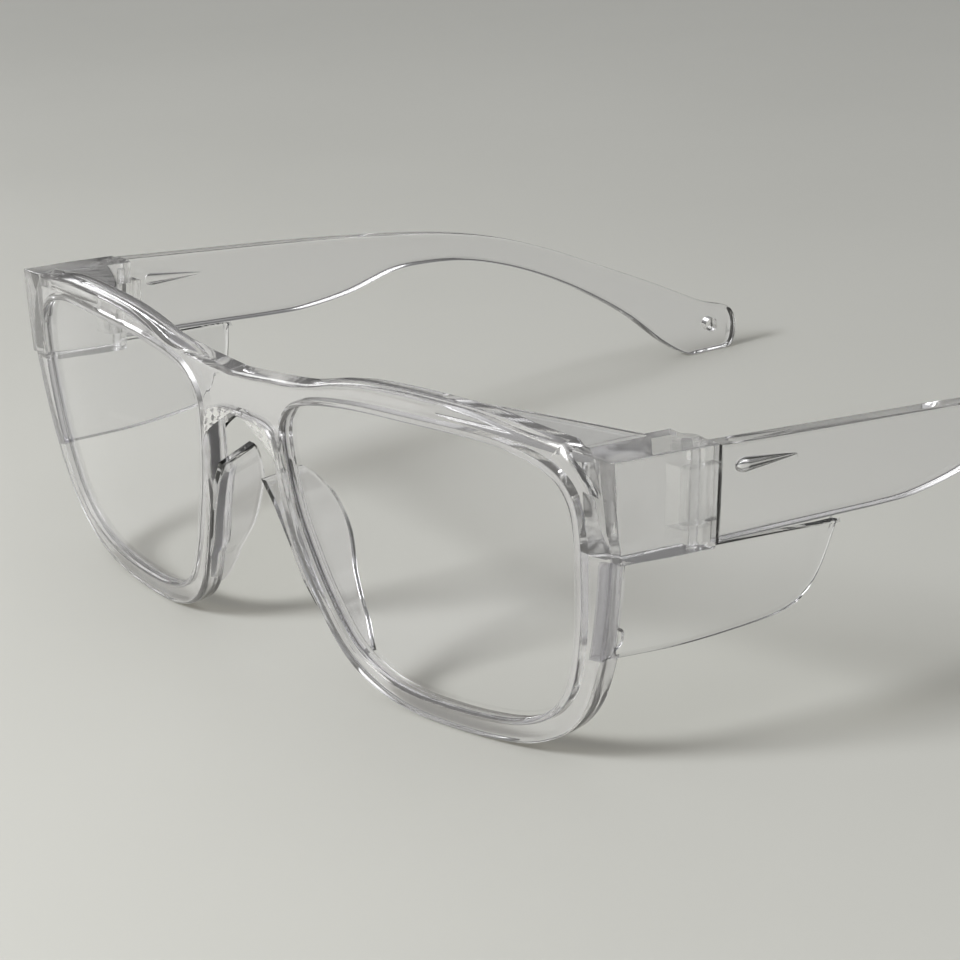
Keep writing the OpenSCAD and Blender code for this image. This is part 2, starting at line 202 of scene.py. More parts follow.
def clear_plastic(name, tint, polish, ripple, shade, haze=0.0, contact=0.0):
    """Clear moulded plastic: glass of the resin's index in a tint, with two roughnesses between which soft
    patches turn it duller, and with shallow ripples, given as how many there are to a metre along each
    axis and their depth in millimetres. A shadow ray passes it with the colour shade. haze is the share
    of the light that it scatters, and contact the share that goes straight on, as where two clear pieces
    touch."""
    resin_index, patches_to_metre = 1.56, 60
    material = bpy.data.materials.new(name)
    material.use_nodes = True
    nodes, links = material.node_tree.nodes, material.node_tree.links
    plastic = nodes["Principled BSDF"]
    plastic.inputs["Base Color"].default_value = (*tint, 1)
    plastic.inputs["IOR"].default_value = resin_index
    plastic.inputs["Transmission Weight"].default_value = 1 - haze
    place = nodes.new("ShaderNodeTexCoord")
    patches = nodes.new("ShaderNodeTexNoise")
    patches.inputs["Scale"].default_value = patches_to_metre
    patches.inputs["Detail"].default_value = 3
    links.new(place.outputs["Object"], patches.inputs["Vector"])
    dull = nodes.new("ShaderNodeMapRange")
    dull.inputs["From Min"].default_value, dull.inputs["From Max"].default_value = 0.35, 0.7
    dull.inputs["To Min"].default_value, dull.inputs["To Max"].default_value = polish
    links.new(patches.outputs["Fac"], dull.inputs["Value"])
    links.new(dull.outputs["Result"], plastic.inputs["Roughness"])
    stretch = nodes.new("ShaderNodeMapping")
    stretch.inputs["Scale"].default_value = ripple[:3]
    links.new(place.outputs["Object"], stretch.inputs["Vector"])
    waves = nodes.new("ShaderNodeTexNoise")
    waves.inputs["Scale"].default_value = 1
    waves.inputs["Detail"].default_value = 1
    links.new(stretch.outputs["Vector"], waves.inputs["Vector"])
    bump = nodes.new("ShaderNodeBump")
    bump.inputs["Strength"].default_value = 1
    bump.inputs["Distance"].default_value = ripple[3] * MM
    links.new(waves.outputs["Fac"], bump.inputs["Height"])
    links.new(bump.outputs["Normal"], plastic.inputs["Normal"])
    ray = nodes.new("ShaderNodeLightPath")
    through = nodes.new("ShaderNodeBsdfTransparent")
    through.inputs["Color"].default_value = (*shade, 1)
    either = nodes.new("ShaderNodeMixShader")
    links.new(ray.outputs["Is Shadow Ray"], either.inputs["Fac"])
    links.new(plastic.outputs["BSDF"], either.inputs[1])
    links.new(through.outputs["BSDF"], either.inputs[2])
    touching = nodes.new("ShaderNodeMixShader")
    touching.inputs["Fac"].default_value = contact
    straight = nodes.new("ShaderNodeBsdfTransparent")
    links.new(either.outputs["Shader"], touching.inputs[1])
    links.new(straight.outputs["BSDF"], touching.inputs[2])
    links.new(touching.outputs["Shader"], nodes["Material Output"].inputs["Surface"])
    return material


# The opening for a lens, from the nose side over the top to the cheek and back
# under the eye, as shares of its half width and half height. Places round it are
# counted in these points.
OPENING = np.array([
    [-1, 0.61], [-0.94, 0.82], [-0.78, 0.93], [-0.43, 0.99], [0, 1], [0.45, 0.99],
    [0.7, 0.94], [0.875, 0.85], [0.965, 0.705], [0.99, 0.51], [0.98, 0.22],
    [0.95, -0.12], [0.9, -0.41], [0.825, -0.65], [0.695, -0.83], [0.495, -0.945],
    [0.25, -0.99], [0, -1], [-0.25, -0.985], [-0.47, -0.91], [-0.64, -0.755],
    [-0.775, -0.455], [-0.875, -0.14], [-0.95, 0.17]])
around = len(OPENING)


def opening(place, grow=0.0, flare=0.0):
    """Points of the opening's outline at places, moved out by grow and by a flare at its outer side, which
    falls off as the fourth power of the place across and evenly from top to foot."""
    share = on_curve(OPENING, place, closed=True)
    size = np.array([lens_w / 2, lens_h / 2])
    before, after = (on_curve(OPENING, place + step, closed=True) for step in (-0.2, 0.2))
    run = (after - before) * size
    out = np.stack([-run[:, 1], run[:, 0]], 1) / np.linalg.norm(run, axis=1)[:, None]
    more = grow + flare * np.maximum(share[:, 0], 0) ** 4 * (1 + share[:, 1]) / 2
    return share * size + (opening_x, opening_z) + out * more[:, None]


# Places round the opening where the rim's outer edge changes its course.
foot, arch, brow, corner, cheek = -1.5, -0.35, 1.15, 6.7, 9.6
arch_w, bridge_top = nose_gap / 2, corner_h - 0.1
under_z = bridge_top - bridge_h
# The underside of the bridge, from the nose side of the rim to the middle.
UNDER = [[arch_w - 2.3, under_z - 8.3], [arch_w - 2.5, under_z - 5.9], [arch_w - 2.65, under_z - 3.3],
         [arch_w - 3.5, under_z - 1.2], [arch_w - 6, under_z - 0.2], [0, under_z]]
# The crest of the brow, from the middle to the end piece, as shares of the half width and the rise.
BROW = [[0, bridge_top]] + [[share * half_w, corner_h + rise * brow_rise] for share, rise in (
    (0.13, 0.16), (0.23, 0.34), (0.33, 0.75), (0.43, 0.97), (0.56, 1), (0.7, 0.87), (0.82, 0.5),
    (0.885, 0.3))]
# The rim's outer edge beside the end piece's face, as shares of the half width and drops below the corner.
EDGE = np.array(BROW[-1:] + [[share * half_w, corner_h - drop] for share, drop in (
    (0.912, 0.9), (0.93, 2.6), (0.947, 4.8), (0.959, 6.9), (0.97, 9.1), (0.978, 11.4), (0.981, 14.4))])


def both_ways(place):
    """Places round the opening as steps from its first point, below zero on the shorter way back to it."""
    return np.where(place > around / 2, place - around, place)


def rim_outline(place):
    """The outer edge of a rim at places round its opening: the rim's own width from the cheek round to the
    nose, the underside of the bridge, the middle line, the brow and the edge beside the end piece."""
    turn = both_ways(place)

    def part(points, start, end):
        return on_curve(points, np.clip((turn - start) / (end - start), 0, 1) * (len(points) - 1))

    middle = np.stack([0 * turn, under_z + (turn - arch) / (brow - arch) * (bridge_top - under_z)], 1)
    outline = opening(place, rim_w, side_w - rim_w)
    for start, end, course in (
            (foot, arch, part(UNDER, foot, arch)),
            (arch, brow, middle),
            (brow, corner, part(BROW, brow, corner)),
            (corner, cheek, part(EDGE, corner, cheek))):
        outline = np.where((turn >= start)[:, None] & (turn < end)[:, None], course, outline)
    return outline


def rim_half():
    """One rim as a closed section carried round the opening. At each place the section runs from the lens
    groove over the front face, round the outer edge, over the back face and round the inner edge."""
    lip, groove, skin = 0.8, 0.85, 0.02
    inner_r, outer_r, outer_back_r, inner_back_r = 0.5, 0.9, 0.7, 0.45
    underside = np.linspace(around + foot, around + arch, 40)
    place = np.unique(np.concatenate([np.arange(0, around, 1 / 8), underside, [brow, corner, cheek]]))
    turn = both_ways(place)
    on_middle = (turn > arch) & (turn < brow)
    inner, outer = opening(place), rim_outline(place)
    to_rim, from_rim = -inward(inner), inward(outer)
    from_rim[on_middle] = 0
    from_rim[turn == brow] = (0, -1)
    rows = []

    def inner_at(inset):
        return (inner + to_rim * inset).T

    def outer_at(inset):
        points = outer + from_rim * inset
        points[on_middle, 1] = np.clip(points[on_middle, 1], under_z + inset, bridge_top - inset)
        return points.T

    def add(points, depth):
        rows.append(on_front(*points, depth))

    for inset, depth in rounding(inner_r)[::-1]:
        add(inner_at(inset), max(depth, skin))
    start, end = inner_at(inner_r + 0.25), outer_at(outer_r + 0.3)
    for share in np.linspace(0, 1, 6):
        add(start + share * (end - start), skin)
    for inset, depth in rounding(outer_r, 6):
        add(outer_at(inset), max(depth, skin))
    for inset, depth in rounding(outer_back_r)[::-1]:
        add(outer_at(inset), rim_d - depth)
    add(outer_at(outer_back_r + 0.25), rim_d)
    add(inner_at(inner_back_r + 0.25), rim_d)
    for inset, depth in rounding(inner_back_r):
        add(inner_at(inset), rim_d - depth)
    add(inner_at(0), rim_d - lip)
    add(inner_at(groove), rim_d - lip)
    add(inner_at(groove), lip)
    add(inner_at(0), lip)
    grid = np.stack(rows, 1)
    return surface(np.concatenate([grid, grid[:1]]))


def plate(edge_a, edge_b, thickness, place, radius, spans=3):
    """A plate between two lines of points that run the same way, a above b. Each row of its surface is the
    closed outline moved inwards: first on one face, from the middle line out, then down the rounded-over
    edge, and back to the middle line on the other face. place() puts points and levels into the model."""
    flat_from = 1.35
    outline = np.concatenate([edge_a, edge_b[::-1]])
    middle = (edge_a + edge_b) / 2
    middle = np.concatenate([middle, middle[::-1]])
    radius = np.broadcast_to(radius, len(outline))[:, None]
    step_in = inward(outline)
    rim = outline + step_in * radius * flat_from
    half = [(rim + share * (middle - rim), 0 * radius) for share in np.linspace(1, 0, spans + 1)]
    half += [(outline + step_in * radius * inset, radius * depth) for inset, depth in rounding(1.0)]
    rows = [place(points, level[:, 0]) for points, level in half]
    rows += [place(points, thickness - level[:, 0]) for points, level in half[::-1]]
    return surface(np.stack(rows))


def turned(x, y, profile, steps=48):
    """A round solid on an upright axis: the circle of each radius and height of the profile, in turn."""
    turn = np.linspace(0, 2 * np.pi, steps, endpoint=False)
    radius, z = np.asarray(profile, float).T
    return surface(np.stack([x + radius[:, None] * np.cos(turn), y + radius[:, None] * np.sin(turn),
                             np.repeat(z[:, None], steps, 1)], -1))


def round_bar(radius, low, high):
    """The profile of a plain cylinder, for turned."""
    return [(0, low), (radius, low), (radius, high), (0, high)]


def brick(low, high):
    """A box between two worn corners: its four-cornered floor and top, each closed in its middle."""
    ring = np.array([[0, 0], [1, 0], [1, 1], [0, 1]])
    x, y = np.array([low[:2], high[:2]])[ring, [0, 1]].T
    floor, top = (np.stack([x, y, np.full(4, z)], 1) for z in (low[2], high[2]))
    return surface(np.stack([np.repeat(floor.mean(0)[None], 4, 0), floor, top,
                             np.repeat(top.mean(0)[None], 4, 0)]))


# The end piece, the hinge in it and the shelf that leads to it.
end_h, end_l, end_flare, end_w, lug_t, wall_t = 13.9, 17.3, 1.2, 8.4, 2.9, 1.6
end_r, end_back_r, end_sunk = 0.35, 0.15, 0.42
pin_r, lug_r, barrel_r, axis_in, axis_fwd = 0.8, 2.5, 2.2, 4.6, 1.9
hinge_gap, cut_past = 0.3, 3
outer_x, end_z = half_w + end_flare, corner_h - end_h
axis_x, axis_y, inboard = outer_x - axis_in, end_l - axis_fwd, outer_x - end_w
shelf_t, shelf_rise, shelf_tip = 1.8, 2.4, 0.55 * half_w


def top_plane(x):
    """Height of the flat top of the shelf and the end piece, which falls to the outer corner."""
    return corner_h + shelf_rise * (half_w - x) / (half_w - shelf_tip)


def front_y(x, z, depth):
    """How far back the front lies at x and worn height z, at a depth below its surface. The place up the
    front is corrected four times by how far it misses that height."""
    h = z
    for _ in range(4):
        _, y, z_there = on_front(x, h, depth).T
        h = h + z - z_there
    return y


def end_piece_block():
    """The end piece as a plate seen from above, whose front edge follows the front and whose outer edge
    flares. In front it lies a little below the rim's face, which it meets at the outer corner, and inside
    the rim's edge it dives steeply under that face."""
    dive_from, dive_slope, dive_depth = 0.8, 2.5, 2.6
    turn = np.linspace(0, np.pi / 2, 6)[1:]
    front_corner = np.stack([half_w - end_r + end_r * np.sin(turn), end_r - end_r * np.cos(turn)], 1)
    front_edge = np.concatenate([np.linspace((inboard, 0), (half_w, 0), 25)[:-2], front_corner])
    rear_corner = [[half_w - end_r, end_l], [half_w, end_l - end_r]]
    rear_edge = np.linspace((inboard, end_l), (half_w, end_l), len(front_edge) - 1)[:-1]
    rear_edge = np.concatenate([rear_edge, rear_corner])

    def place(points, level):
        a, b = points.T
        z = end_z + level / end_h * (top_plane(a) - end_z)
        rim_x = np.interp(corner_h - z, corner_h - EDGE[:, 1], EDGE[:, 0])
        below = end_sunk * np.clip((half_w - a) / np.maximum(half_w - rim_x, 0.3), 0, 1)
        dive = np.clip((rim_x - a - dive_from) * dive_slope, 0, dive_depth)
        start = front_y(a, z, below + dive)
        y = start + b / end_l * (end_l - start)
        share = (a - inboard) / (half_w - inboard)
        return np.stack([a + share * end_flare * y / end_l, y, z], 1)

    radius = np.repeat([end_back_r, end_r], len(rear_edge))
    return plate(rear_edge, front_edge, end_h, place, radius, spans=6)


def shelf_wedge():
    """The shelf behind the brow: a flat plate that widens from the brow's crest to the end piece, and lies
    a little below the plane of the end piece's top."""
    shelf_end, shelf_sunk = half_w - 3, 0.015
    rear = even_curve([[shelf_tip, -0.2 * end_l], [0.633 * half_w, 0.08 * end_l],
                       [0.758 * half_w, 0.38 * end_l], [shelf_end, 0.81 * end_l]], 40)
    near = np.linspace((shelf_tip, -0.27 * end_l), (shelf_end, 0.12 * end_l), 40)

    def place(points, level):
        a, b = points.T
        return np.stack([a, b, top_plane(a) - shelf_t - shelf_sunk + level], 1)

    return plate(rear, near, shelf_t, place, radius=0.4)


end_pieces = solid("end_pieces", end_piece_block(), both_sides=True)
# The cuts run past the block. The pocket's mouth is a hundredth smaller than the
# pocket, so that their faces don't lie in one plane.
pocket_z, pocket_top, sweep_r = end_z + lug_t, corner_h - lug_t, lug_r + hinge_gap
pin_hole_top = corner_h - 1
knuckle_room = brick((inboard - 2, axis_y + 0.5, end_z - 2),
                     (axis_x, end_l + cut_past, corner_h + cut_past))
lug = [(0, end_z), (lug_r - 0.3, end_z), (lug_r, end_z + 0.3), (lug_r, corner_h - 0.1),
       (lug_r - 0.3, corner_h + 0.2), (0, corner_h + 0.2)]
pocket = turned(axis_x, axis_y, round_bar(sweep_r, pocket_z, pocket_top))
pin_hole = turned(axis_x, axis_y, round_bar(pin_r, end_z - 1, pin_hole_top), steps=32)
mouth = brick((inboard - 2, axis_y - sweep_r + 0.02, pocket_z + 0.01),
              (outer_x - wall_t, end_l + cut_past, pocket_top - 0.01))
for name, shape, how in (
        ("rooms", knuckle_room, "DIFFERENCE"),
        ("lugs", turned(axis_x, axis_y, lug), "UNION"),
        ("pockets", pocket, "DIFFERENCE"),
        ("mouths", mouth, "DIFFERENCE"),
        ("pin_holes", pin_hole, "DIFFERENCE")):
    joined(end_pieces, solid(name, shape, both_sides=True), how)

# A rabbet down the cheek side of the rim takes the side shield's rib.
rib_w, rib_front, rib_back, rib_gap = 2.0, 0.5, 3.0, 0.05
rib_top, rib_foot = end_z - 0.35, end_z - 14.4
shield_top = end_z - 0.06
cheek_edge = rim_outline(np.linspace(corner, 13.5, 300))[::-1]


def cheek_x(h):
    """How far out the rim's cheek edge lies at a height up the front."""
    return np.interp(h, cheek_edge[:, 1], cheek_edge[:, 0])


def cheek_bar(low, high, front, back, inner, outer, radius, bulge=0.0):
    """A bar along the rim's cheek edge, between two heights and two depths, from inner millimetres inside
    the edge to outer ones beyond it. A bar with a bulge has a rounded top, and its back swells near its
    foot in a flat-topped bell: e to minus the fourth power of the distance from the bell's middle, in its
    half widths."""
    bulge_up, bulge_half = 2.3, 1.7
    top_r = 1.1 if bulge else 0.01
    h = np.linspace(low, high, 90)
    to_end = np.clip(high - h, 0, top_r)
    round_end = top_r - np.sqrt(top_r ** 2 - (top_r - to_end) ** 2)
    swell = bulge * np.exp(-((h - low - bulge_up) / bulge_half) ** 4)
    far = np.stack([h, back + swell - round_end], 1)
    near = np.stack([h, front + round_end], 1)

    def place(points, level):
        h, depth = points.T
        worn = on_front(cheek_x(h) - inner + level, h, depth)
        worn[:, 2] = np.minimum(worn[:, 2], shield_top)
        return worn

    return plate(far, near, inner + outer, place, radius)


def second_finish(piece, where, finish):
    """Gives another finish to the faces for which where(centre, normal) holds, both as worn."""
    count = len(piece.data.polygons)
    centre, normal = np.empty((2, count * 3))
    piece.data.polygons.foreach_get("center", centre)
    piece.data.polygons.foreach_get("normal", normal)
    centre = as_worn(centre.reshape(-1, 3) / MM)
    normal = as_worn(normal.reshape(-1, 3)) - as_worn(np.zeros((1, 3)))
    piece.data.materials.append(finish)
    index = np.empty(count, np.int32)
    piece.data.polygons.foreach_get("material_index", index)
    index[where(centre, normal)] = len(piece.data.materials) - 1
    piece.data.polygons.foreach_set("material_index", index)
    piece.data.update()


def in_hinge(centre, _):
    """The pocket and the lugs, which face the temple's tongue, and the end piece's rear face."""
    x, y, z = np.abs(centre[:, 0]), centre[:, 1], centre[:, 2]
    inside = (x > inboard - 0.5) & (x < outer_x - wall_t + 0.2) & (y > axis_y - sweep_r - 0.1)
    in_pocket = inside & (z > end_z + 0.1) & (z < corner_h - 0.3)
    return in_pocket | (y > end_l - 0.12) & (x > inboard - 0.5)


def in_rabbet(centre, _):
    """Where the rim and the shield's rib face each other: the faces that get the painted shade."""
    x, y, z = np.abs(centre[:, 0]), centre[:, 1], centre[:, 2]
    edge = cheek_x(z)
    beside = (z < end_z) & (z > rib_foot - 0.3) & (x > edge - rib_w - 0.4) & (x < edge - 0.15)
    return beside & (y > front_y(x, z, 0.3)) & (y < front_y(x, z, rim_d - rib_gap))


front = solid("front", rim_half(), both_sides=True)
joined(front, solid("shelves", shelf_wedge(), both_sides=True), "UNION")
joined(front, end_pieces, "UNION")
rabbets = cheek_bar(rib_foot - 0.1, rib_top + 0.4, rib_front - rib_gap, rim_d + cut_past,
                    inner=rib_w + rib_gap, outer=2, radius=0.01)
joined(front, solid("rabbets", rabbets, both_sides=True), "DIFFERENCE")
tidy(front)
# The darker lavender-grey tint below, on the faces where the rim and the shield's rib meet, is painted shade
# between the parts.
rib_fit_painted_shade = clear_plastic(
    "rib_fit_painted_shade", tint=(0.8, 0.79, 0.88), polish=(0.05, 0.15), ripple=(300, 300, 300, 0.03),
    shade=(0.75, 0.74, 0.71), haze=0.15, contact=0.6)
close_fit = clear_plastic(
    "close_fit", tint=(0.99, 0.99, 0.995), polish=(0.05, 0.15), ripple=(700, 700, 700, 0.08),
    shade=(0.75, 0.74, 0.71), haze=0.1, contact=0.72)
frame_resin = clear_plastic(
    "frame_resin", tint=(0.975, 0.972, 0.99), polish=(0.0, 0.05), ripple=(220, 220, 220, 0.045),
    shade=(0.5, 0.48, 0.44), haze=0.06)
front.data.materials.append(frame_resin)
second_finish(front, in_hinge, close_fit)
second_finish(front, in_rabbet, rib_fit_painted_shade)
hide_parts("front_frame")
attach(front, "frame")


# ---- lenses ------------------------------------------------------------------
# Clear hard-coated polycarbonate lenses, 2 mm thick and curved like the front.
# Each is snapped into the groove round its rim. Its edge is ground to a satin
# finish and tinted a darker violet grey, which is painted shade of the groove.
lens_t, lens_lap = 2.0, 0.8
nose_end, cheek_end = -0.5, 9.5


def lens_surface():
    """The opening's outline, grown into the groove, filled on two spheres that are one thickness apart."""
    above = opening(np.linspace(nose_end, cheek_end, 120), lens_lap)
    below = opening(np.linspace(around + nose_end, cheek_end, 120), lens_lap)

    def place(points, level):
        return on_front(*points.T, (rim_d - lens_t) / 2 + level)

    return plate(above, below, lens_t, place, radius=0.25, spans=14)


# The lens edge's satin roughness is real; its darker violet-grey tint is painted shade of the rim's groove.
ground_edge_and_painted_shade = clear_plastic(
    "ground_edge_and_painted_shade", tint=(0.7, 0.69, 0.78), polish=(0.3, 0.4), ripple=(400, 400, 400, 0.02),
    shade=(0.7, 0.7, 0.75), haze=0.15)
lens_resin = clear_plastic(
    "lens_resin", tint=(0.99, 0.99, 1), polish=(0.0, 0.01), ripple=(40, 40, 40, 0.004),
    shade=(0.96, 0.96, 0.95))
for side in ("left", "right"):
    lens = solid("clear_lens_" + side, lens_surface(), mirrored=side == "right")
    lens.data.materials.append(lens_resin)
    second_finish(lens, lambda _, normal: np.abs(normal[:, 1]) < 0.75, ground_edge_and_painted_shade)
    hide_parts("lens_" + side)
    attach(lens, "frame")


# ---- nose pads ---------------------------------------------------------------
# Clear moulded fins on the nose side of each rim. Each wraps the rim's edge and
# stands out behind it in a D, and its flat top ends below the bridge.
pad_t, pad_top, pad_foot, pad_gap = 1.8, 30.4, 6.2, 0.04
nose_edge = opening(np.linspace(18.2, 24.0, 400), rim_w)
# The D, as heights up the front and depths behind its face.
PAD_REAR = [[pad_foot, 5.1], [7.6, 5.8], [9.8, 6.7], [12.5, 7.4], [17.5, 9.2], [21, 10.0], [24, 10.1],
            [27, 9.4], [29.6, 8.1], [31, 6.9]]


def rim_edge(h):
    """How far from the middle the nose side of the rim lies at a height up the front."""
    return np.interp(h, nose_edge[:, 1], nose_edge[:, 0])


def nose_pad_surface():
    """A sheet whose rear edge is the D. At each height it starts beside the rim, as far towards the nose
    as the pad stands proud there, and slants out from the nose by that height's share of its depth."""
    pad_front = 0.12
    rear = even_curve(PAD_REAR, 70)
    near = np.linspace((pad_foot, pad_front), (pad_top, pad_front), 70)

    def place(points, level):
        h, depth = points.T
        proud = np.interp(h, [4, 12, 16, 21, 24, 27, 30.4], [-0.3, 0, 0.85, 0.8, 1.1, 1.7, 3.3])
        slant = np.interp(h, [9.8, 12.5, 17.5, 24, 30], [0.17, 0.155, 0.14, 0.17, 0.3])
        return on_front(rim_edge(h) - proud + slant * depth + level, h, depth)

    return plate(rear, near, pad_t, place, radius=0.4, spans=5)


def rim_room():
    """The room of the rim: a plate from its nose edge outwards, from before its face to its back."""
    room_w, before_face = 12.0, 2
    far = np.linspace((pad_foot - 3, rim_d + pad_gap), (pad_top + 6, rim_d + pad_gap), 70)
    near = far * (1, 0) - (0, before_face)

    def place(points, level):
        h, depth = points.T
        return on_front(rim_edge(h) - pad_gap + level, h, depth)

    return plate(far, near, room_w, place, radius=0.01)


pad_resin = clear_plastic(
    "pad_resin", tint=(0.965, 0.96, 0.985), polish=(0.01, 0.05), ripple=(200, 200, 120, 0.02),
    shade=(0.75, 0.74, 0.72))
for side in ("left", "right"):
    pad = solid("nose_fin_" + side, nose_pad_surface(), mirrored=side == "right")
    joined(pad, solid("rim_room", rim_room(), mirrored=side == "right"), "DIFFERENCE")
    tidy(pad)
    pad.data.materials.append(pad_resin)
    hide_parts("nose_pad_" + side)
    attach(pad, "frame")


# ---- side shields ------------------------------------------------------------
# A thin clear panel stands on a thick rib, which lies in a rabbet down the
# cheek side of the rim, below the end piece. The rib's foot swells in a lobe.
shield_t, shield_l, shield_h, shield_slant = 1.4, 36.4, 15.6, np.radians(11.7)
shield_flare, shield_edge_r, shield_back_r, lobe = 2.3, 0.3, 0.65, 1.3
shield_foot, panel_foot = shield_top - shield_h, shield_top - shield_h + 1.3
panel_x, panel_hidden, panel_bend = half_w - 1.35, 0.25, 9


def shield_panel():
    """A plate in a plane that slants inwards towards its foot. Its front edge follows the rim's front. There
    it is moved in until the rim's cheek edge hides it, by a share that falls evenly to nothing over the
    bend behind it. It flares outwards with the power 1.3 of the way back."""
    foot = even_curve([[0, panel_foot], [0.42 * shield_l, panel_foot],
                       [0.7 * shield_l, shield_foot + 2], [0.9 * shield_l, shield_foot + 3.1],
                       [shield_l, shield_foot + 5],
                       [1.06 * shield_l, shield_foot + 8.4], [shield_l + rim_d, shield_top]], 90)
    top = np.linspace((0, shield_top), (shield_l + rim_d, shield_top), 90)
    top[-1, 1] -= 0.02

    def place(points, level):
        y, z = points.T
        across = level / np.cos(shield_slant)
        x = panel_x - (shield_top - z) * np.tan(shield_slant) - across
        start = front_y(x, z, rib_back - 0.6)
        y = np.maximum(y, start)
        beyond = x - cheek_x(z) + panel_hidden + across
        x = x - np.maximum(beyond, 0) * np.clip(1 - (y - start) / panel_bend, 0, 1)
        return np.stack([x + shield_flare * np.clip(y / shield_l, 0, 1) ** 1.3, y, z], 1)

    # The edge's second half runs forwards along the foot, so that the rear end comes first in it.
    radius = np.full(180, shield_edge_r)
    radius[90:112] = shield_back_r
    return plate(top, foot, shield_t, place, radius)


shield_resin = clear_plastic(
    "shield_resin", tint=(0.975, 0.975, 0.985), polish=(0.0, 0.04), ripple=(120, 60, 120, 0.012),
    shade=(0.85, 0.84, 0.81))
for side in ("left", "right"):
    shield = solid("shield_panel_" + side, shield_panel(), mirrored=side == "right")
    rib = cheek_bar(rib_foot, rib_top, rib_front, rib_back, inner=rib_w, outer=-0.02, radius=0.4, bulge=lobe)
    joined(shield, solid("shield_rib", rib, mirrored=side == "right"), "UNION")
    tidy(shield)
    shield.data.materials.append(shield_resin)
    # The rib's faces in the rabbet take the same painted shade.
    second_finish(shield, in_rabbet, rib_fit_painted_shade)
    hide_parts("side_shield_" + side)
    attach(shield, "frame")


# ---- temples -----------------------------------------------------------------
# Each temple is a clear moulded bar, thinner towards its tip, that bends in
# over the ear. A tongue with a round barrel at its front end turns on the pin.
# A drop-shaped recess marks its inner face, and its tip has a lanyard hole.
temple_l, temple_h, temple_t, tip_t = 130.0, 13.2, 3.6, 2.8
neck_h, neck_drop, tip_h, toe_in = 4.9, 9.5, 9.4, 12.2
temple_y, temple_top = end_l + 0.1, corner_h - 0.1
temple_foot, neck_z = temple_top - temple_h, temple_top - neck_drop


def along(share):
    """How far back a share of the temple's length lies."""
    return temple_y + share * temple_l


def floor_z(y):
    """Height of the table below the worn glasses at y."""
    return y * np.tan(tip_angle) - foot_z / np.cos(tip_angle)


bend_from, bend_to = along(0.21), along(0.83)
bend_run = bend_to - bend_from
toe_slope = toe_in / (bend_run / 2 + along(1) - bend_to)


def toe(y):
    """How far the temple has turned in at y: nothing, then an arc, then a straight end."""
    arc = toe_slope * (y - bend_from) ** 2 / (2 * bend_run)
    straight = toe_slope * (bend_run / 2 + y - bend_to)
    return np.where(y < bend_from, 0, np.where(y < bend_to, arc, straight))


def temple_bar():
    """The temple's outline from the side as a plate, whose faces bend in and come closer towards the tip."""
    edge_r, front_r, floor_gap = 0.6, 0.15, 0.004
    top = [[along(share), temple_top - drop] for share, drop in (
        (0, 0), (0.12, 0.4), (0.3, 1), (0.45, 1.9), (0.53, 2.8))]
    top += [[along(share), neck_z + neck_h - drop] for share, drop in (
        (0.61, 0), (0.69, 3), (0.77, 6.8), (0.86, 11.2))]
    top += [[y, floor_z(y) + rise] for y, rise in ((along(0.94), tip_h + 0.9), (along(0.985), tip_h - 1.2))]
    top += [[along(1) - 0.2, floor_z(along(1)) + 0.6 * tip_h], [along(1), floor_z(along(1)) + 0.32 * tip_h]]
    foot = [[along(share), temple_foot + rise] for share, rise in (
        (0, 0), (0.08, 0), (0.16, 0), (0.24, 0), (0.29, 0.3), (0.36, 1.9))]
    foot += [[along(share), neck_z + rise] for share, rise in (
        (0.43, 1.1), (0.48, 1.8), (0.545, 1.6), (0.61, 0), (0.68, -2.9), (0.75, -6.9), (0.82, -12))]
    foot += [[y, floor_z(y) + rise] for y, rise in (
        (along(0.885), 3.4), (along(0.93), 0), (along(0.97), 0), (along(1) - 0.9, 0.25),
        (along(1), 0.25 * tip_h))]
    top, foot = even_curve(top, 170), even_curve(foot, 170)
    foot[:, 1] = np.maximum(foot[:, 1], floor_z(foot[:, 0]) + floor_gap)
    radius = np.full(340, edge_r)
    radius[[0, -1]] = front_r

    def place(points, level):
        y, z = points.T
        thick = temple_t + (tip_t - temple_t) * np.clip((y - temple_y) / (bend_to - temple_y), 0, 1)
        return np.stack([outer_x - toe(y) - level / temple_t * thick, y, z], 1)

    return plate(top, foot, temple_t, place, radius)


def recess():
    """The drop-shaped recess in the inner face: half an ellipse across at each place along it. Its width
    swells as a circle does over a short round end, then falls off to a point with the power 0.9 of the way
    left, and its depth goes with the power 1.2 of its width."""
    start, length, z_middle = along(0) + 4.2, 12.4, temple_top - 3.9
    half_width, deep, round_share = 1.05, 1.7, 0.14
    round_turn = np.linspace(0, np.pi / 2, 12)
    share = np.concatenate([round_share * (1 - np.cos(round_turn)), np.linspace(round_share, 1, 40)[1:]])
    round_end = np.sqrt(np.clip(1 - (1 - share / round_share) ** 2, 0, 1))
    swell = np.where(share < round_share, round_end, ((1 - share) / (1 - round_share)) ** 0.9)
    turn = np.linspace(0, 2 * np.pi, 32, endpoint=False)
    x = outer_x - temple_t - 0.02 + deep * swell[:, None] ** 1.2 * np.cos(turn)
    y = np.repeat((start + share * length)[:, None], 32, 1)
    z = z_middle + half_width * swell[:, None] * np.sin(turn)
    return surface(np.stack([x, y, z], -1))


lanyard_r, lanyard_y = 1.3, along(1) - 5.2
lanyard_z = floor_z(lanyard_y) + 0.55 * tip_h


def lanyard_hole():
    """A round bore square to the straight end of the temple, cut through with some to spare."""
    spare = 6
    turn = np.linspace(0, 2 * np.pi, 48, endpoint=False)
    angle = np.arctan(toe_slope)
    rows = []
    for r, run in round_bar(lanyard_r, -spare, spare):
        a, z = r * np.cos(turn), r * np.sin(turn)
        x = run * np.cos(angle) - a * np.sin(angle)
        y = run * np.sin(angle) + a * np.cos(angle)
        rows.append(np.stack([outer_x - toe(lanyard_y) - tip_t / 2 + x, lanyard_y + y, lanyard_z + z], 1))
    return surface(np.stack(rows))


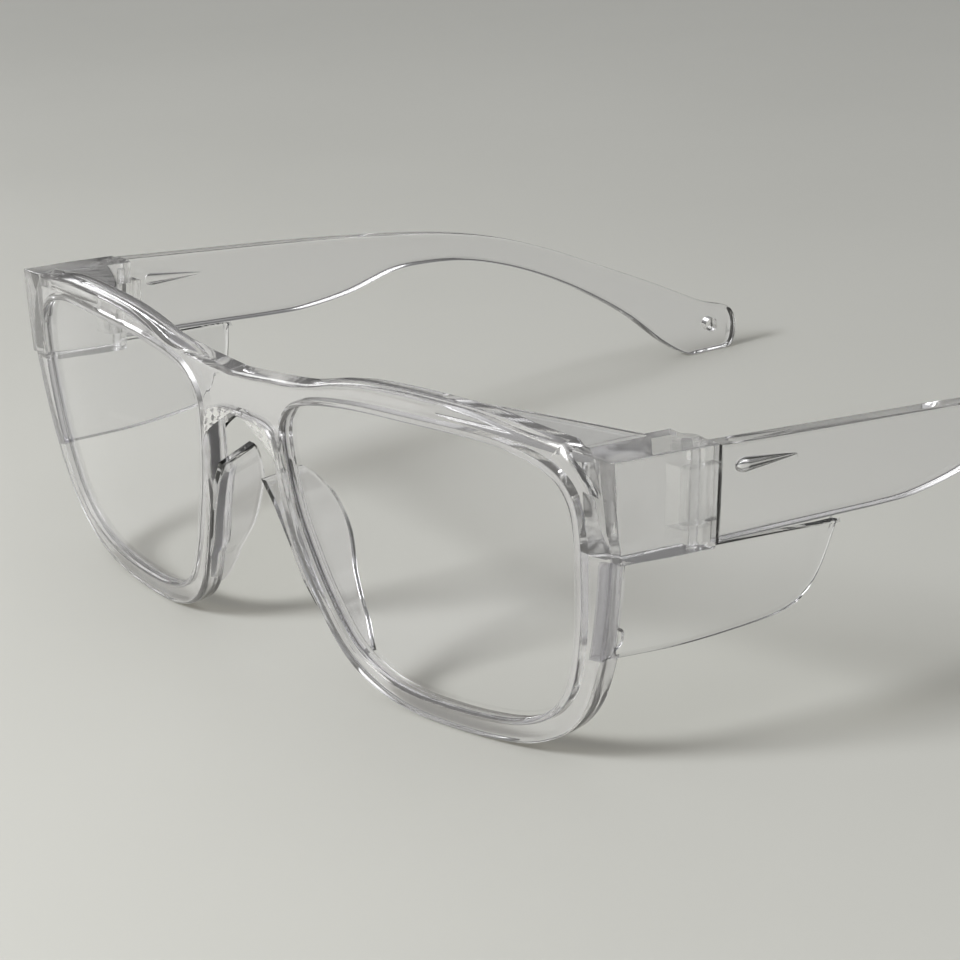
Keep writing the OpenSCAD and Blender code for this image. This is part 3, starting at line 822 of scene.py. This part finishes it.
tongue_z, tongue_top = pocket_z + hinge_gap, pocket_top - hinge_gap
barrel_soft, bore_r, tall = 0.25, pin_r + 0.05, 60
barrel = [(0, tongue_z), (barrel_r - barrel_soft, tongue_z), (barrel_r, tongue_z + barrel_soft),
          (barrel_r, tongue_top - barrel_soft), (barrel_r - barrel_soft, tongue_top), (0, tongue_top)]
tongue = brick((axis_x - 0.8 * barrel_r, axis_y, tongue_z + 0.01),
               (outer_x - temple_t / 2 - 0.8 * barrel_r, temple_y + temple_t / 2, tongue_top - 0.01))
temple_resin = clear_plastic(
    "temple_resin", tint=(0.975, 0.972, 0.985), polish=(0.0, 0.04), ripple=(70, 14, 150, 0.1),
    shade=(0.52, 0.5, 0.45), haze=0.03)
for side in ("left", "right"):
    mirrored = side == "right"
    temple = solid("temple_bar_" + side, temple_bar(), mirrored=mirrored)
    for name, shape, how in (
            ("lug_room", turned(axis_x, axis_y, round_bar(sweep_r, 0, tall)), "DIFFERENCE"),
            ("tongue", tongue, "UNION"),
            ("barrel", turned(axis_x, axis_y, barrel), "UNION"),
            ("bore", turned(axis_x, axis_y, round_bar(bore_r, 0, tall), steps=32), "DIFFERENCE"),
            ("recess", recess(), "DIFFERENCE"),
            ("lanyard_hole", lanyard_hole(), "DIFFERENCE")):
        joined(temple, solid(name, shape, mirrored=mirrored), how)
    tidy(temple)
    temple.data.materials.append(temple_resin)
    second_finish(temple, lambda centre, _: centre[:, 1] < temple_y + 0.05, close_fit)
    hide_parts("temple_" + side)
    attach(temple, "temple_" + side)


# ---- hinge pins --------------------------------------------------------------
# A clear moulded pin with chamfered ends is pressed up into each end piece,
# through the temple's barrel. Its sides clear the bore by a hundredth.
pin_side, pin_chamfer, pin_foot, pin_end = pin_r - 0.01, pin_r - 0.2, end_z + 0.02, pin_hole_top - 0.05
pin = [(0, pin_foot), (pin_chamfer, pin_foot), (pin_side, pin_foot + 0.18),
       (pin_side, pin_end - 0.25), (pin_chamfer, pin_end), (0, pin_end)]
pin_resin = clear_plastic(
    "pin_resin", tint=(0.98, 0.98, 1), polish=(0.02, 0.06), ripple=(300, 300, 300, 0.01),
    shade=(0.8, 0.79, 0.77), haze=0.03, contact=0.5)
for side in ("left", "right"):
    hinge_pin = solid("pin_" + side, turned(axis_x, axis_y, pin, steps=32), mirrored=side == "right")
    hinge_pin.data.materials.append(pin_resin)
    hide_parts("hinge_pin_" + side)
    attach(hinge_pin, "frame")


# ---- table, room and lamps ---------------------------------------------------
# A pale satin table top in a grey room. The room's windows show in the clear
# plastic, and don't light the table. A soft lamp in front of the glasses and a
# wide one above them do.
table_reach, table_back = 4, 6
table_mesh = bpy.data.meshes.new("table")
table_mesh.from_pydata([(-table_reach, -table_reach, 0), (table_reach, -table_reach, 0),
                        (table_reach, table_back, 0), (-table_reach, table_back, 0)], [], [(0, 1, 2, 3)])
table = bpy.data.objects.new("table", table_mesh)
bpy.context.scene.collection.objects.link(table)
laminate = bpy.data.materials.new("laminate")
laminate.use_nodes = True
nodes, links = laminate.node_tree.nodes, laminate.node_tree.links
top_coat = nodes["Principled BSDF"]
top_coat.inputs["Roughness"].default_value = 0.45
top_coat.inputs["Specular IOR Level"].default_value = 0.35
table_place = nodes.new("ShaderNodeTexCoord")
cloudy = nodes.new("ShaderNodeTexNoise")
cloudy.inputs["Scale"].default_value = 9
cloudy.inputs["Detail"].default_value = 6
links.new(table_place.outputs["Object"], cloudy.inputs["Vector"])
shades = nodes.new("ShaderNodeValToRGB")
shades.color_ramp.elements[0].position = 0.3
shades.color_ramp.elements[0].color = (0.573, 0.575, 0.54, 1)
shades.color_ramp.elements[1].position = 0.7
shades.color_ramp.elements[1].color = (0.598, 0.6, 0.565, 1)
links.new(cloudy.outputs["Fac"], shades.inputs["Fac"])
links.new(shades.outputs["Color"], top_coat.inputs["Base Color"])
table_mesh.materials.append(laminate)

# The walls are dark at the table's level and paler from halfway up.
room = bpy.data.worlds.new("room")
bpy.context.scene.world = room
room.use_nodes = True
room.cycles.sampling_method = "NONE"
nodes, links = room.node_tree.nodes, room.node_tree.links
way = nodes.new("ShaderNodeTexCoord")
height = nodes.new("ShaderNodeSeparateXYZ")
links.new(way.outputs["Generated"], height.inputs["Vector"])
walls = nodes.new("ShaderNodeValToRGB")
walls.color_ramp.elements[0].color = (0.05, 0.05, 0.05, 1)
walls.color_ramp.elements[1].position = 0.45
walls.color_ramp.elements[1].color = (0.32, 0.32, 0.32, 1)
links.new(height.outputs["Z"], walls.inputs["Fac"])
links.new(walls.outputs["Color"], nodes["Background"].inputs["Color"])
ray = nodes.new("ShaderNodeLightPath")
no_bounce = nodes.new("ShaderNodeMath")
no_bounce.operation = "LESS_THAN"
no_bounce.inputs[1].default_value = 0.5
links.new(ray.outputs["Diffuse Depth"], no_bounce.inputs[0])

# Each window is a round patch about a direction, at full power within the first
# of two angles from it, in degrees, and gone beyond the second.
sky = nodes["Background"]
overhead = ((0, 0, 1), 35, 72, 0.5)
in_front = ((-0.15, -0.8, 0.6), 9, 15, 9)
skylight = ((0.2, 0.1, 1), 22, 34, 1.2)
on_right = ((-1, 0.1, 0.5), 8, 16, 5)
for towards, inner, outer, power in (overhead, in_front, skylight, on_right):
    facing = nodes.new("ShaderNodeVectorMath")
    facing.operation = "DOT_PRODUCT"
    facing.inputs[1].default_value = Vector(towards).normalized()
    links.new(way.outputs["Generated"], facing.inputs[0])
    pane = nodes.new("ShaderNodeMapRange")
    pane.interpolation_type = "SMOOTHSTEP"
    pane.inputs["From Min"].default_value = np.cos(np.radians(outer))
    pane.inputs["From Max"].default_value = np.cos(np.radians(inner))
    pane.inputs["To Max"].default_value = power
    links.new(facing.outputs["Value"], pane.inputs["Value"])
    shown = nodes.new("ShaderNodeMath")
    shown.operation = "MULTIPLY"
    links.new(pane.outputs["Result"], shown.inputs[0])
    links.new(no_bounce.outputs["Value"], shown.inputs[1])
    window = nodes.new("ShaderNodeBackground")
    links.new(shown.outputs["Value"], window.inputs["Strength"])
    both = nodes.new("ShaderNodeAddShader")
    links.new(sky.outputs[0], both.inputs[0])
    links.new(window.outputs["Background"], both.inputs[1])
    sky = both
links.new(sky.outputs["Shader"], nodes["World Output"].inputs["Surface"])


def soft_lamp(name, place, width, height, power, colour):
    """A rectangular lamp that faces the glasses and that the clear plastic doesn't show."""
    light = bpy.data.lights.new(name, "AREA")
    light.shape = "RECTANGLE"
    light.size, light.size_y = width, height
    light.energy = power
    light.color = colour
    lamp = bpy.data.objects.new(name, light)
    lamp.visible_transmission = False
    lamp.visible_glossy = False
    turn = (-Vector(place)).to_track_quat("-Z", "Y")
    lamp.matrix_world = Matrix.Translation(place) @ turn.to_matrix().to_4x4()
    bpy.context.scene.collection.objects.link(lamp)


soft_lamp("front_lamp", place=(-0.16, -0.74, 0.54), width=0.29, height=0.21, power=8.1,
          colour=(1.0, 0.99, 0.97))
soft_lamp("top_lamp", place=(0.25, -0.1, 1.6), width=1.4, height=1.4, power=2.2, colour=(0.97, 0.98, 1.0))

bpy.context.scene.view_settings.view_transform = "Standard"
